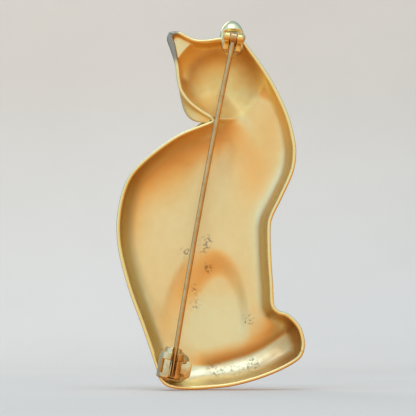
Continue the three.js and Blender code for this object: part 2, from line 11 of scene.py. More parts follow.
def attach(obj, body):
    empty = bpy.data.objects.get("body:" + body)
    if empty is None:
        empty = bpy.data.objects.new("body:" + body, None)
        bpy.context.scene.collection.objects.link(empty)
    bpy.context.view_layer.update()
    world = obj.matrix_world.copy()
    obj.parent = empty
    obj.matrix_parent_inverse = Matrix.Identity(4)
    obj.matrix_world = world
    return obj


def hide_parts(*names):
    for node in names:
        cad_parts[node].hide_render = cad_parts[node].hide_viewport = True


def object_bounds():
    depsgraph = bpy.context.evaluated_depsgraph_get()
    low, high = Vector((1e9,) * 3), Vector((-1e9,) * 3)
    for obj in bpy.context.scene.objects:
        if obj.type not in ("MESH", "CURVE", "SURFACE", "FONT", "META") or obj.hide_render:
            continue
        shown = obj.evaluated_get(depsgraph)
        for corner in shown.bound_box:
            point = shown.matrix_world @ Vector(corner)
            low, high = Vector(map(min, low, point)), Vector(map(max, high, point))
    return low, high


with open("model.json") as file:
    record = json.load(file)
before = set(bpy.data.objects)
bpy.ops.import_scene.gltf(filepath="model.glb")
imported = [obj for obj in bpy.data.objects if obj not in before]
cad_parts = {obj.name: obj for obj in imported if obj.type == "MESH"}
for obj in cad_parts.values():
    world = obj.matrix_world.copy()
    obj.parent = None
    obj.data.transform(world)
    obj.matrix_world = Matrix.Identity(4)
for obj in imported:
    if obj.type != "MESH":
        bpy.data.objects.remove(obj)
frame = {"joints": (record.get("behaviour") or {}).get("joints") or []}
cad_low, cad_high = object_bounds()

# Hollow cast brooch in the shape of a sitting cat. Shapes are worked out in millimetres and scaled to
# metres when a mesh is made. +Z is up, the face looks along -Y and the flat back rim lies at y = 0.
MM = 0.001
ROOT = "brooch"
STEM = "stem"
ROLLER = "roller"

# ---- Driving dimensions: the frame's, but for the bracket's cheeks and the catch's lip ----
BODY_DEPTH = 6.0  # hollow of the body, below the rim plane
HEAD_DEPTH = 5.8
EAR_DEPTH = 1.0
WALL = 0.8
RIM_WIDTH = 0.7
BACK_ROUND = 5.4  # width of the rounded wall inside the back
BASE_ROUND = 3.8
CHEST_ROUND = 2.9
HEAD_ROUND = 2.4
NAPE_ROUND = 3.2
EAR_ROUND = 0.5
OUTER_ROUND = 3.8
HEAD_CENTRE = (-1.6, 23.7)
HEAD_RADIUS = 7.9
BOWL_RADIUS = 8.6
BOWL_SHAPE_LOW = 0.9  # 0.5 makes the bowl half an ellipse, 1 a parabola
BOWL_SHAPE_HIGH = 0.5
BOWL_TILT = 0.2
CREST_LOW = 0.4  # depth of the ridge below the head at the neck notch
CREST_HIGH = 3.5
CHIN_BULGE = 2.3
CHIN_CENTRE = (2.4, 17.9)
CHIN_RADIUS = 3.9
HAUNCH_SWELL = 1.5
TAIL_SWELL = 0.7
EAR_LUMP = (-4.1, -1.0, 31.5)
EAR_LUMP_RADII = (2.35, 2.0, 3.5)
FACE_CENTRE = (-0.6, 22.9)
FACE_RADII = (5.4, 4.8)
FACE_FRONT = HEAD_DEPTH + WALL - 0.2

stem_hinge = next(joint for joint in frame["joints"] if joint["name"] == "stem_hinge")
HINGE_POINT = np.array(stem_hinge["pos_m"]) / MM
STEM_HEIGHT = HINGE_POINT[1]
STEM_RADIUS = 0.475
STEM_LEAN = math.radians(10.3)
STEM_BOW = 0.45
POINT_LENGTH = 6.5
RIVET_RADIUS = 0.4
RIVET_HEAD_RADIUS = 0.75
RIVET_HEAD_HEIGHT = 0.3
BORE_CLEARANCE = 0.06
EYE_RADIUS = 1.05
EYE_WIDTH = 1.3
CHEEK_GAP = 1.5
CHEEK_THICKNESS = 0.85
CHEEK_TOP = 1.0  # above the rivet
BRACKET_HEAD = 1.2  # reach of the bracket's floor past the rivet
BRACKET_TAIL = 2.3
BRACKET_WIDTH = CHEEK_GAP + 2 * CHEEK_THICKNESS

CATCH_DISTANCE = 62.6
CATCH_OFFSET = 0.5
HOUSING_RADIUS = 2.4
HOUSING_BORE = 2.02
HOUSING_LENGTH = 4.8
HALF_HOUSING = HOUSING_LENGTH / 2
TOP_HOOP = 1.4
BOTTOM_HOOP = 0.9
LIP_RADIUS = 1.57
ROLLER_RADIUS = 1.95
ROLLER_BORE = 1.22
COLLAR_RADIUS = 1.6
COLLAR_LENGTH = 0.95
SLOT_WIDTH = 1.25
SLOT_CENTRE = -0.42  # from the catch's axis
TAB_THICKNESS = 0.6
FOOT_SIZE = (2.6, 4.2)
FOOT_HEIGHT = 0.7
BOSS_SIZE = (4.3, 5.4)
BOSS_CORNER = 1.6
BOSS_TOP = -1.05
BOSS_FLOOR = -5.6
BOSS_TAPER = 0.7  # the boss is narrower at the floor
BOSS_SHIFT = 0.6  # patch and boss keep away from the wall of the shell


# ---- Material helpers ----
class Nodes:
    """A short way to make and join the shader nodes of a material or a world."""

    def __init__(self, owner):
        owner.use_nodes = True
        self.owner = owner
        self.tree = owner.node_tree
        self.coordinates = self.tree.nodes.new("ShaderNodeTexCoord").outputs

    def put(self, node, socket, value):
        target = node.inputs[socket]
        if isinstance(value, bpy.types.NodeSocket):
            self.tree.links.new(value, target)
        elif isinstance(value, tuple) and len(value) == 3 and len(target.default_value) == 4:
            target.default_value = (*value, 1.0)
        else:
            target.default_value = value

    def node(self, kind, inputs, output, **settings):
        made = self.tree.nodes.new(kind)
        for key, value in settings.items():
            setattr(made, key, value)
        for socket, value in inputs.items():
            self.put(made, socket, value)
        return made.outputs[output]

    def noise(self, scale, detail=3.0, roughness=0.5, place=None):
        place = place or self.coordinates["Object"]
        inputs = {"Vector": place, "Scale": scale, "Detail": detail, "Roughness": roughness}
        return self.node("ShaderNodeTexNoise", inputs, "Fac")

    def stretched(self, factors):
        inputs = {"Vector": self.coordinates["Object"], "Scale": factors}
        return self.node("ShaderNodeMapping", inputs, "Vector")

    def ramp(self, value, low, high, start=0.0, end=1.0):
        inputs = {"Value": value, "From Min": low, "From Max": high, "To Min": start, "To Max": end}
        return self.node("ShaderNodeMapRange", inputs, "Result", interpolation_type="SMOOTHSTEP")

    def maths(self, operation, first, second):
        return self.node("ShaderNodeMath", {0: first, 1: second}, "Value", operation=operation)

    def times(self, first, second):
        return self.maths("MULTIPLY", first, second)

    def mix(self, factor, first, second):
        return self.node("ShaderNodeMix", {0: factor, 6: first, 7: second}, 2, data_type="RGBA")

    def clouds(self, value, low, high, colours):
        """Blends two colours as a noise rises from low to high."""
        return self.mix(self.ramp(value, low, high), *colours)

    def mask(self, name):
        return self.node("ShaderNodeAttribute", {}, "Fac", attribute_name=name)

    def bump(self, height, strength, distance, normal=None):
        inputs = {"Height": height, "Strength": strength, "Distance": distance}
        if normal is not None:
            inputs["Normal"] = normal
        return self.node("ShaderNodeBump", inputs, "Normal")

    def finish(self, **inputs):
        surface = self.tree.nodes["Principled BSDF"]
        for socket, value in inputs.items():
            self.put(surface, socket.replace("_", " "), value)
        return self.owner


def new_material(name):
    return Nodes(bpy.data.materials.new(name))


# ---- Materials; noise blends the two colours of a pair ----
SATIN = (0.94, 0.74, 0.39), (0.91, 0.71, 0.35)
SATIN_LOW = (0.93, 0.69, 0.33)
# Painted shade: dark olive on the steep walls inside the rim
WALL_SHADE = (0.46, 0.37, 0.21), (0.50, 0.39, 0.21)
# Painted reflection: cool greenish window light on the walls of the lower back
WALL_GREEN_REFLECTION = (0.58, 0.54, 0.33)
# Painted reflection: pale lemon on upward-facing walls near the base, as if they mirrored the window above
UPWARD_SHEEN = (0.78, 0.75, 0.52)
BOWL = (1.0, 0.76, 0.30)
BLOTCH = (0.60, 0.42, 0.18)
# Painted shade: dark warm orange in the tail's crease, on the foot and at the top of the head's bowl
WARM_SHADE = (0.55, 0.28, 0.09)
RIM = (0.95, 0.74, 0.34)
# Painted shade: dark grey on the rim strip at the ear's tip, where it would mirror the dark side
EAR_EDGE_SHADE = (0.34, 0.30, 0.24)
LUMP = (0.84, 0.75, 0.42)
SPECK = (0.26, 0.22, 0.15)
GRIME = (0.30, 0.22, 0.12)
POLISHED = (0.82, 0.62, 0.33), (0.60, 0.40, 0.19)
JOINT = (0.90, 0.64, 0.24), (0.78, 0.48, 0.16)
WIRE = (0.66, 0.43, 0.20), (0.54, 0.33, 0.14)
SOLDER = (0.82, 0.62, 0.33), (0.50, 0.33, 0.14)
GREEN = (0.03, 0.30, 0.12), (0.01, 0.16, 0.07)
BLACK = (0.006, 0.006, 0.008), (0.012, 0.010, 0.010)
ROSE = (0.42, 0.10, 0.12), (0.30, 0.06, 0.08)
PAPER = (0.80, 0.70, 0.60), (0.83, 0.725, 0.625)


def satin_gold():
    """Cast and plated shell, with painted shade and painted reflections on its walls, crease and ear. The
    masks are those of paint_masks; each layer lies over those before it.
    """
    shader = new_material("satin_gold")
    rim, wear, shine = shader.mask("rim"), shader.mask("wear"), shader.mask("shine")
    cloudy = shader.noise(90.0, 4.0, 0.6)
    blotches = shader.ramp(shader.noise(210.0, 6.0, 0.7), 0.60, 0.78)
    tarnish = shader.ramp(shader.mask("tarnish"), 0.05, 0.8)
    specks = shader.times(tarnish, shader.ramp(shader.noise(1700.0, 3.0, 0.6), 0.48, 0.62))
    # painted shade on the rim strip at the ear's tip, broken up by noise
    shaded_ear_edge = shader.times(wear, shader.ramp(cloudy, 0.2, 0.6, 0.6, 1.0))
    walls = shader.clouds(cloudy, 0.3, 0.7, WALL_SHADE)
    # painted reflection: the walls of the lower back are greener
    walls = shader.mix(shader.mask("green"), walls, WALL_GREEN_REFLECTION)

    base = shader.clouds(cloudy, 0.35, 0.7, SATIN)
    for where, strength, colour in (
        (shader.mask("low"), 1.0, SATIN_LOW),
        # painted shade on the steep walls inside the rim
        (shader.mask("wall_shade"), 0.85, walls),
        # painted reflection on the upward-facing walls near the base
        (shader.mask("upward_sheen"), 1.0, UPWARD_SHEEN),
        (shader.mask("bowl"), 1.0, BOWL),
        (blotches, 0.15, BLOTCH),
        # painted shade in the tail's crease, on the foot and in the top of the head's bowl
        (shader.mask("warm"), 0.9, WARM_SHADE),
        (rim, 1.0, RIM),
        # painted shade at the ear's tip
        (shaded_ear_edge, 1.0, EAR_EDGE_SHADE),
        (shine, 1.0, LUMP),
        (specks, 0.75, SPECK),
    ):
        base = shader.mix(shader.times(where, strength), base, colour)

    rough = shader.ramp(shader.noise(700.0, 4.0), 0.3, 0.7, 0.30, 0.42)
    polish = shader.maths("MAXIMUM", rim, shine)
    for where, change in ((polish, -0.16), (wear, 0.12), (shader.mask("bowl"), 0.24)):
        rough = shader.maths("ADD", rough, shader.times(where, change))
    grain = shader.bump(shader.noise(2600.0, 5.0, 0.65), 0.10, 0.00003)
    peel = shader.bump(shader.noise(900.0, 2.0), 0.10, 0.0001, grain)
    return shader.finish(Base_Color=base, Metallic=1.0, Roughness=rough, Normal=peel)


def finding_gold(name, colours, roughness, streaks=(1.0, 1.0, 1.0)):
    """Polished plated findings with fine draw lines, uneven roughness and a little grime."""
    shader = new_material(name)
    cloudy = shader.noise(420.0, 4.0, 0.6)
    lines = shader.noise(2400.0, 3.0, 0.6, shader.stretched(streaks))
    grime = shader.ramp(shader.noise(650.0, 5.0, 0.7), 0.60, 0.80)
    base = shader.clouds(cloudy, 0.35, 0.7, colours)
    base = shader.mix(shader.times(grime, 0.5), base, GRIME)
    rough = shader.ramp(cloudy, 0.3, 0.75, roughness, roughness + 0.10)
    normal = shader.bump(lines, 0.12, 0.00003)
    return shader.finish(Base_Color=base, Metallic=1.0, Roughness=rough, Normal=normal)


def solder_metal():
    """Brass-coloured solder, uneven in colour and surface."""
    shader = new_material("solder")
    cloudy = shader.noise(600.0, 5.0, 0.65)
    base = shader.clouds(cloudy, 0.35, 0.65, SOLDER)
    rough = shader.ramp(cloudy, 0.3, 0.7, 0.32, 0.5)
    normal = shader.bump(shader.noise(1100.0, 4.0), 0.35, 0.00008)
    return shader.finish(Base_Color=base, Metallic=1.0, Roughness=rough, Normal=normal)


def enamel(name, colours):
    """Glossy fired enamel, cloudy in colour, with a faint ripple from firing."""
    shader = new_material(name)
    base = shader.clouds(shader.noise(500.0, 3.0), 0.3, 0.7, colours)
    rough = shader.ramp(shader.noise(1500.0, 2.0), 0.3, 0.7, 0.05, 0.12)
    normal = shader.bump(shader.noise(700.0, 1.0), 0.05, 0.00005)
    return shader.finish(Base_Color=base, Roughness=rough, Normal=normal, Coat_Weight=0.6)


def pale_paper():
    """The floor: matt paper, a little uneven in colour."""
    shader = new_material("pale_floor")
    base = shader.clouds(shader.noise(9.0, 3.0), 0.35, 0.65, PAPER)
    normal = shader.bump(shader.noise(500.0, 3.0), 0.05, 0.0003)
    return shader.finish(Base_Color=base, Roughness=0.85, Normal=normal)


# ---- Mesh helpers ----
def smoothstep(value, low, high):
    t = np.clip((value - low) / (high - low), 0.0, 1.0)
    return t * t * (3 - 2 * t)


def lerp(first, second, t):
    return first + (second - first) * t


def bump(x, z, centre, rx, rz=None):
    """A soft round hill, 1 high at its centre."""
    rz = rx if rz is None else rz
    return np.exp(-(((x - centre[0]) / rx) ** 2) - ((z - centre[1]) / rz) ** 2)


MERGE_DISTANCE = 1e-7


def clean_mesh(mesh, turn_outwards=False, drop_slivers=False):
    """Merges doubled points and, where asked, turns the faces outwards or drops faces without an area."""
    work = bmesh.new()
    work.from_mesh(mesh)
    bmesh.ops.remove_doubles(work, verts=work.verts, dist=MERGE_DISTANCE)
    if turn_outwards:
        bmesh.ops.recalc_face_normals(work, faces=work.faces)
        if work.calc_volume(signed=True) < 0:
            bmesh.ops.reverse_faces(work, faces=work.faces)
    if drop_slivers:
        bmesh.ops.dissolve_degenerate(work, edges=work.edges, dist=MERGE_DISTANCE)
    work.to_mesh(mesh)
    work.free()


def make_mesh(name, points, faces, material, sharp=None, closed=True):
    """An object from points in millimetres. Edges over the sharp angle, in degrees, are not smoothed."""
    mesh = bpy.data.meshes.new(name)
    mesh.from_pydata([tuple(p) for p in np.asarray(points) * MM], [], [tuple(f) for f in faces])
    mesh.materials.append(material)
    clean_mesh(mesh, turn_outwards=closed)
    mesh.shade_smooth()
    if sharp is not None:
        mesh.set_sharp_from_angle(angle=math.radians(sharp))
    made = bpy.data.objects.new(name, mesh)
    bpy.context.scene.collection.objects.link(made)
    return made


def apply_modifiers(piece):
    graph = bpy.context.evaluated_depsgraph_get()
    mesh = bpy.data.meshes.new_from_object(piece.evaluated_get(graph))
    mesh.name = piece.name
    piece.modifiers.clear()
    piece.data = mesh
    mesh.shade_smooth()


def boolean(piece, operation, *others, sharp=None):
    for other in others:
        cut = piece.modifiers.new(operation, "BOOLEAN")
        cut.operation = operation
        cut.object = other
        cut.solver = "MANIFOLD"
    apply_modifiers(piece)
    clean_mesh(piece.data, drop_slivers=True)
    if sharp is not None:
        piece.data.set_sharp_from_angle(angle=math.radians(sharp))
    for other in others:
        bpy.data.objects.remove(other)


def bevel(piece, width):
    edge = piece.modifiers.new("bevel", "BEVEL")
    edge.width = width * MM
    edge.segments = 3
    edge.limit_method = "ANGLE"
    edge.angle_limit = math.radians(35)
    apply_modifiers(piece)
    piece.data.set_sharp_from_angle(angle=math.radians(30))


def grid_faces(rows, columns, start=0, around=False, flip=False):
    """Quads between rows of points; around joins the last column to the first."""
    faces = []
    for row in range(rows - 1):
        for column in range(columns if around else columns - 1):
            a = start + row * columns + column
            b = start + row * columns + (column + 1) % columns
            quad = (a, b, b + columns, a + columns)
            faces.append(quad[::-1] if flip else quad)
    return faces


def turned(points, axis):
    """Points of a shape made along Z, with that axis turned to the one asked for."""
    points = np.array(points, dtype=float)
    return points[:, [2, 0, 1]] if axis == "x" else points


def lathe(name, profile, material, axis="z", segments=48):
    """Turns a closed profile of (radius, height) pairs; a radius of 0 starts or ends it on the axis."""
    rings, points = [], []
    for radius, height in profile:
        if radius == 0:
            rings.append([len(points)] * segments)
            points.append((0.0, 0.0, height))
            continue
        rings.append(list(range(len(points), len(points) + segments)))
        for step in range(segments):
            turn = 2 * math.pi * step / segments
            points.append((radius * math.cos(turn), radius * math.sin(turn), height))
    closed = profile[0][0] != 0
    pairs = list(zip(rings, rings[1:])) + ([(rings[-1], rings[0])] if closed else [])
    faces = []
    for low, high in pairs:
        for step in range(segments):
            after = (step + 1) % segments
            corners = [low[step], low[after], high[after], high[step]]
            faces.append(list(dict.fromkeys(corners)))
    return make_mesh(name, turned(points, axis), faces, material, 30)


def extrusion(name, outline, low, high, material, axis="z"):
    """A flat outline given as (a, b) pairs, pushed along an axis from low to high."""
    count = len(outline)
    flat = [(a, b, low) for a, b in outline] + [(a, b, high) for a, b in outline]
    faces = [tuple(range(count))[::-1], tuple(range(count, 2 * count))]
    faces += [(i, (i + 1) % count, (i + 1) % count + count, i + count) for i in range(count)]
    return make_mesh(name, turned(flat, axis), faces, material)


def rounded_rectangle(width, length, corner, steps=8):
    outline = []
    for quarter in range(4):
        cx = (width / 2 - corner) * (1 if quarter in (0, 3) else -1)
        cy = (length / 2 - corner) * (1 if quarter in (0, 1) else -1)
        for step in range(steps + 1):
            turn = math.pi / 2 * (quarter + step / steps)
            outline.append((cx + corner * math.cos(turn), cy + corner * math.sin(turn)))
    return outline


def to_pin_frame(piece, along=0.0, across=0.0, out=0.0):
    """Moves a piece made about the rivet, +Z back up the stem, to its place on the brooch."""
    turn = Matrix.Rotation(-STEM_LEAN, 4, "Y")
    place = Matrix.Translation(Vector(HINGE_POINT * MM)) @ turn
    piece.data.transform(place @ Matrix.Translation((across * MM, out * MM, along * MM)))
    return piece


# ---- Cat outline: the same control points as the frame's shell ----
RUMP_CORNER = (9.6, -32.9)
FOOT_TIP = (-17.4, -28.0)
EAR_TIP = (7.9, 32.7)
CROWN_CORNER = (-6.2, 31.2)
NECK_NOTCH = (-0.4, 15.6)
BASE = [[
    FOOT_TIP, (-16.6, -29.3), (-14.5, -30.7), (-11.3, -32.2), (-7.5, -33.5), (-3.7, -34.4),
    (0.1, -34.8), (3.9, -35.0), (7.2, -34.7), (8.7, -34.0), RUMP_CORNER,
]]
CHEST_SIDE = [[
    FOOT_TIP, (-17.6, -26.2), (-17.0, -23.7), (-15.7, -21.9), (-14.3, -20.8), (-12.8, -20.3),
    (-11.9, -19.1), (-11.7, -15.3), (-11.4, -10.5), (-11.3, -5.2), (-11.7, -2.8), (-13.4, 0.7),
    (-15.6, 5.6), (-16.2, 9.3), (-15.9, 12.3), (-14.9, 16.3), (-13.2, 20.4), (-11.3, 24.0),
    (-8.5, 28.2), CROWN_CORNER,
]]
BACK_SIDE = [
    [
        RUMP_CORNER, (10.4, -30.2), (12.8, -23.3), (15.3, -16.6), (17.2, -9.6), (17.7, -4.5),
        (17.1, 0.5), (15.7, 4.5), (13.4, 7.4), (9.6, 10.6), (5.8, 13.1), (2.0, 14.7), NECK_NOTCH,
    ],
    [
        NECK_NOTCH, (2.0, 17.1), (4.2, 18.9), (5.8, 21.1), (6.4, 23.4), (6.7, 26.0), (7.5, 28.8),
        (8.3, 31.2), EAR_TIP,
    ],
]
CROWN = [[
    CROWN_CORNER, (-3.9, 31.7), (-1.6, 31.6), (0.5, 31.3), (2.7, 31.3), (4.2, 31.9), (6.0, 32.8),
    EAR_TIP,
]]

COLUMNS = 104
ROWS = 224
EDGE_CROWDING = 0.82  # 0 spaces the grid evenly, 1 crowds it towards the edges
SPLINE_STEPS = 60


def spline(points):
    """Dense points of a Catmull-Rom curve through the given points."""
    p = np.array(points)
    padded = np.vstack([p[:1], p, p[-1:]])
    t = np.linspace(0, 1, SPLINE_STEPS, endpoint=False)[:, None]
    parts = []
    for i in range(len(p) - 1):
        p0, p1, p2, p3 = padded[i : i + 4]
        v0, v1 = (p2 - p0) / 2, (p3 - p1) / 2
        cubic = 2 * p1 - 2 * p2 + v0 + v1
        square = -3 * p1 + 3 * p2 - 2 * v0 - v1
        parts.append(cubic * t**3 + square * t**2 + v0 * t + p1)
    return np.vstack(parts + [p[-1:]])


def by_length(chains, stations):
    """Points at the given fractions of the length of some splines laid end to end."""
    dense = np.vstack([spline(chain) for chain in chains])
    steps = np.linalg.norm(np.diff(dense, axis=0), axis=1)
    length = np.concatenate([[0.0], np.cumsum(steps)])
    keep = np.concatenate([[True], steps > 0])
    length, dense = length[keep] / length[-1], dense[keep]
    return np.stack([np.interp(stations, length, dense[:, k]) for k in (0, 1)], axis=1)


def crowd(count):
    """Fractions from 0 to 1, closer together near both ends."""
    t = np.linspace(0, 1, count + 1)
    return lerp(t, (1 - np.cos(np.pi * t)) / 2, EDGE_CROWDING)


def outline_grid():
    """A grid of (x, z) points that fills the outline, blended between its four sides."""
    u, v = crowd(COLUMNS), crowd(ROWS)
    chest, back = by_length(CHEST_SIDE, v), by_length(BACK_SIDE, v)
    base, crown = by_length(BASE, u), by_length(CROWN, u)
    u, v = u[None, :, None], v[:, None, None]
    sides = lerp(chest[:, None], back[:, None], u) + lerp(base[None], crown[None], v)
    corners = lerp(lerp(base[0], base[-1], u), lerp(crown[0], crown[-1], u), v)
    return sides - corners


def border(grid):
    """The grid's edge points, anticlockwise from the foot tip."""
    return np.concatenate([grid[0], grid[1:, -1], grid[-1, -2::-1], grid[-2:0:-1, 0]])


grid = outline_grid()
outline = border(grid)
outline_tree = KDTree(len(outline))
for number, (edge_x, edge_z) in enumerate(outline):
    outline_tree.insert((edge_x, edge_z, 0.0), number)
outline_tree.balance()


def to_outline(points):
    """Distance to the outline and nearest point on it, for many (x, z) points."""
    start, side = outline, np.roll(outline, -1, axis=0) - outline
    closest = np.array([outline_tree.find((a, b, 0.0))[1] for a, b in points])
    index = (closest[:, None] + np.arange(-2, 2)) % len(outline)
    along = ((points[:, None] - start[index]) * side[index]).sum(-1) / (side[index] ** 2).sum(-1)
    foot = start[index] + side[index] * np.clip(along, 0, 1)[..., None]
    gap = np.linalg.norm(points[:, None] - foot, axis=-1)
    best = gap.argmin(axis=1)
    rows = np.arange(len(best))
    return gap[rows, best], foot[rows, best]


# ---- Relief of the casting ----
def rounded(t):
    """Rises steeply from 0 and levels off softly: 0.97 of the way at 1."""
    return np.sqrt(1 - np.exp(-2.8 * np.maximum(t, 0)))


def smooth_max(first, second, blend):
    mix = np.clip(0.5 + 0.5 * (first - second) / blend, 0, 1)
    return lerp(second, first, mix) + blend * mix * (1 - mix)


def around_head(x, z):
    """Distance from the middle of the head, and angle from straight down, positive towards the chest."""
    dx, dz = x - HEAD_CENTRE[0], z - HEAD_CENTRE[1]
    return np.hypot(dx, dz), np.degrees(np.arctan2(-dx, -dz))


def in_ear(x, z):
    radius, angle = around_head(x, z)
    side = np.where(angle < 0, angle + 360, angle)
    between = smoothstep(side, 160, 176) * (1 - smoothstep(side, 262, 275))
    return between * smoothstep(radius, HEAD_RADIUS - 2.5, HEAD_RADIUS - 0.5)


def in_head(x, z):
    radius, _ = around_head(x, z)
    return 1 - smoothstep(radius, HEAD_RADIUS - 1.0, HEAD_RADIUS + 1.5)


def haunch(x, z):
    """Swelling of the hind leg: an arch that is crisp towards the chest and fades towards back and base."""
    fade = smoothstep(x, -3.0, 4.5)
    radius = np.hypot((x + 0.5) / lerp(6.6, 8.6, fade), (z + 22.0) / 12.4)
    arch = 1 - smoothstep(radius, lerp(0.70, 0.40, fade), lerp(1.12, 1.16, fade))
    return HAUNCH_SWELL * arch * smoothstep(z, -30.0, -16.0)


def above_crease(x, z):
    """Height above the crease that runs along the tail."""
    return z + 30.6 + 0.29 * np.minimum(x, 0) - 0.033 * np.maximum(-6 - x, 0) ** 2


def tail(x, z):
    """Channel of the tail along the base: the floor dips softly into a crease, then rises to the wall."""
    above = np.clip(above_crease(x, z) / 3.6, 0, 1)
    below = np.clip(-above_crease(x, z) / 3.0, 0, 1)
    return TAIL_SWELL * (1 - above) ** 2 * (1 - below) * (1 - smoothstep(x, 0.5, 5.5))


def floor_depth(x, z, grow=0.0):
    """Depth of the cast floor: a round bowl for the head that meets the body's floor in a soft ridge."""
    radius, angle = around_head(x, z)
    turn = np.abs(angle + 8)
    fade = 1 - smoothstep(turn, 75, 125)
    crest = lerp(CREST_LOW, CREST_HIGH, smoothstep(turn, 0, 50)) * fade
    edge = lerp(HEAD_RADIUS, BOWL_RADIUS, smoothstep(turn, 60, 110)) + grow
    shape = lerp(BOWL_SHAPE_LOW, BOWL_SHAPE_HIGH, smoothstep(turn, 50, 120))
    tilt = 1 - BOWL_TILT * radius / edge * np.cos(np.radians(angle))
    rise = np.clip(1 - (radius / edge) ** 2, 0, 1)
    bowl = crest + (HEAD_DEPTH + grow - crest) * tilt * rise**shape
    steep = rounded((radius - HEAD_RADIUS) / 6.0)
    gentle = smoothstep(radius, 2, 30)
    beyond = lerp(steep, gentle, smoothstep(turn, 5, 40))
    body = lerp(crest, BODY_DEPTH, beyond) + haunch(x, z) + tail(x, z)
    body = body * smoothstep(radius, HEAD_RADIUS - 5.0, HEAD_RADIUS) * fade
    ear = in_ear(x, z)
    body = lerp(body, EAR_DEPTH, ear) + grow
    return smooth_max(bowl, body, lerp(0.8 + 1.8 * smoothstep(turn, 70, 110), 0.35, ear))


def front_relief(x, z):
    """How far the features of the face, chest, foreleg and toes stand out of the front."""
    fx, fz = x - FACE_CENTRE[0], z - FACE_CENTRE[1]
    cheek = np.abs(fx)
    height = 1.5 * bump(fx, fz, (0, -2.3), 1.9, 1.5)  # muzzle
    height += 0.6 * bump(cheek, fz, (1.1, -2.9), 1.3, 1.1)  # whisker pads
    height += 0.5 * bump(cheek, fz, (3.6, -2.6), 1.8, 1.6)  # cheeks
    height += 0.45 * bump(fx, fz, (0, 0.6), 0.8, 2.4)  # bridge of the nose
    height += 0.5 * bump(cheek, fz, (2.9, 3.4), 2.0, 0.9)  # brows
    height -= 0.9 * bump(x, z, (6.4, 30.0), 1.2, 1.5)  # hollow of the ear
    height += 0.9 * bump(x, z, (-9.2, 6.5), 3.6, 7.0)  # chest
    height -= 0.9 * bump(x, z, (-7.6, -12.5), 0.8, 8.5)  # groove behind the foreleg
    height -= 0.5 * bump(x, z, (-14.6, -25.5), 0.45, 1.8)  # toes
    height -= 0.5 * bump(x, z, (-12.8, -24.4), 0.45, 1.6)
    return height


def wall_reach(x, z):
    """Width of the rounded wall inside the rim: gentle along the back and base, steep at chest and head."""
    back = lerp(BASE_ROUND, BACK_ROUND, smoothstep(z, -27, -18))
    reach = lerp(back, CHEST_ROUND, smoothstep(-x, 3, 9) * smoothstep(z, -25, -20))
    nape = smoothstep(-x, 1, 5) * smoothstep(z, 19, 25)
    reach = lerp(reach, HEAD_ROUND, in_head(x, z))
    return lerp(lerp(reach, NAPE_ROUND, nape), EAR_ROUND, in_ear(x, z))


def rim_width(x, z):
    """Width of the flat land around the open back: wider beside the ear."""
    return RIM_WIDTH + 0.6 * bump(x, z, (8.3, 30.3), 1.5, 2.8)


INSET_REACH = 1.9
INSET_STEPS = 8
RIM_ROLL = 0.26  # how far the rim's edges curve down
RIM_RINGS = 7


def inset(points):
    """Moves points near the outline inwards, so that the edge itself lands a rim's width inside it."""
    rows, columns = points.shape[:2]
    row = np.clip(np.arange(rows), 1, rows - 2)
    column = np.clip(np.arange(columns), 1, columns - 2)
    moved = lerp(points, points[row][:, column], 0.5).reshape(-1, 2)
    flat = points.reshape(-1, 2)
    distance, _ = to_outline(flat)
    rim = rim_width(flat[:, 0], flat[:, 1])
    target = distance + rim * (1 - np.clip(distance / INSET_REACH, 0, 1))
    near = target > distance
    for _ in range(INSET_STEPS):
        now, foot = to_outline(moved[near])
        away = moved[near] - foot
        away /= np.linalg.norm(away, axis=1, keepdims=True) + 1e-9
        moved[near] += away * (target[near] - now)[:, None]
    return moved.reshape(points.shape)


def shell_surfaces():
    """Outer and inner surface of the shell as grids of (x, y, z)."""
    edge = np.ones(grid.shape[:2], dtype=bool)
    edge[1:-1, 1:-1] = False

    x, z = grid[..., 0], grid[..., 1]
    distance, foot = to_outline(grid.reshape(-1, 2))
    distance, foot = distance.reshape(x.shape), foot.reshape(grid.shape)
    wall = rounded(distance / OUTER_ROUND)
    face = np.hypot((x - FACE_CENTRE[0]) / FACE_RADII[0], (z - FACE_CENTRE[1]) / FACE_RADII[1])
    depth = lerp(floor_depth(x, z, WALL) * wall, FACE_FRONT, 1 - smoothstep(face, 0.7, 1.3))
    depth = depth + front_relief(x, z) * wall**3
    depth = np.where(edge, RIM_ROLL, np.maximum(depth, RIM_ROLL))
    outward = (foot - grid) / np.maximum(distance, 1e-6)[..., None]
    bulge = CHIN_BULGE * bump(foot[..., 0], foot[..., 1], CHIN_CENTRE, CHIN_RADIUS)
    bulge = bulge * smoothstep(distance, 0.0, 0.5) * (1 - smoothstep(distance, 1.2, 5.0))
    x, z = x + outward[..., 0] * bulge, z + outward[..., 1] * bulge
    outer = np.stack([x, -depth, z], axis=-1)

    hollow = inset(grid)
    x, z = hollow[..., 0], hollow[..., 1]
    distance = to_outline(hollow.reshape(-1, 2))[0].reshape(x.shape)
    inside = np.maximum(distance - rim_width(x, z), 0)
    bowl = floor_depth(x, z) * rounded(inside / wall_reach(x, z))
    bowl = np.where(edge, RIM_ROLL, np.maximum(bowl, RIM_ROLL))
    return outer, np.stack([x, -bowl, z], axis=-1)


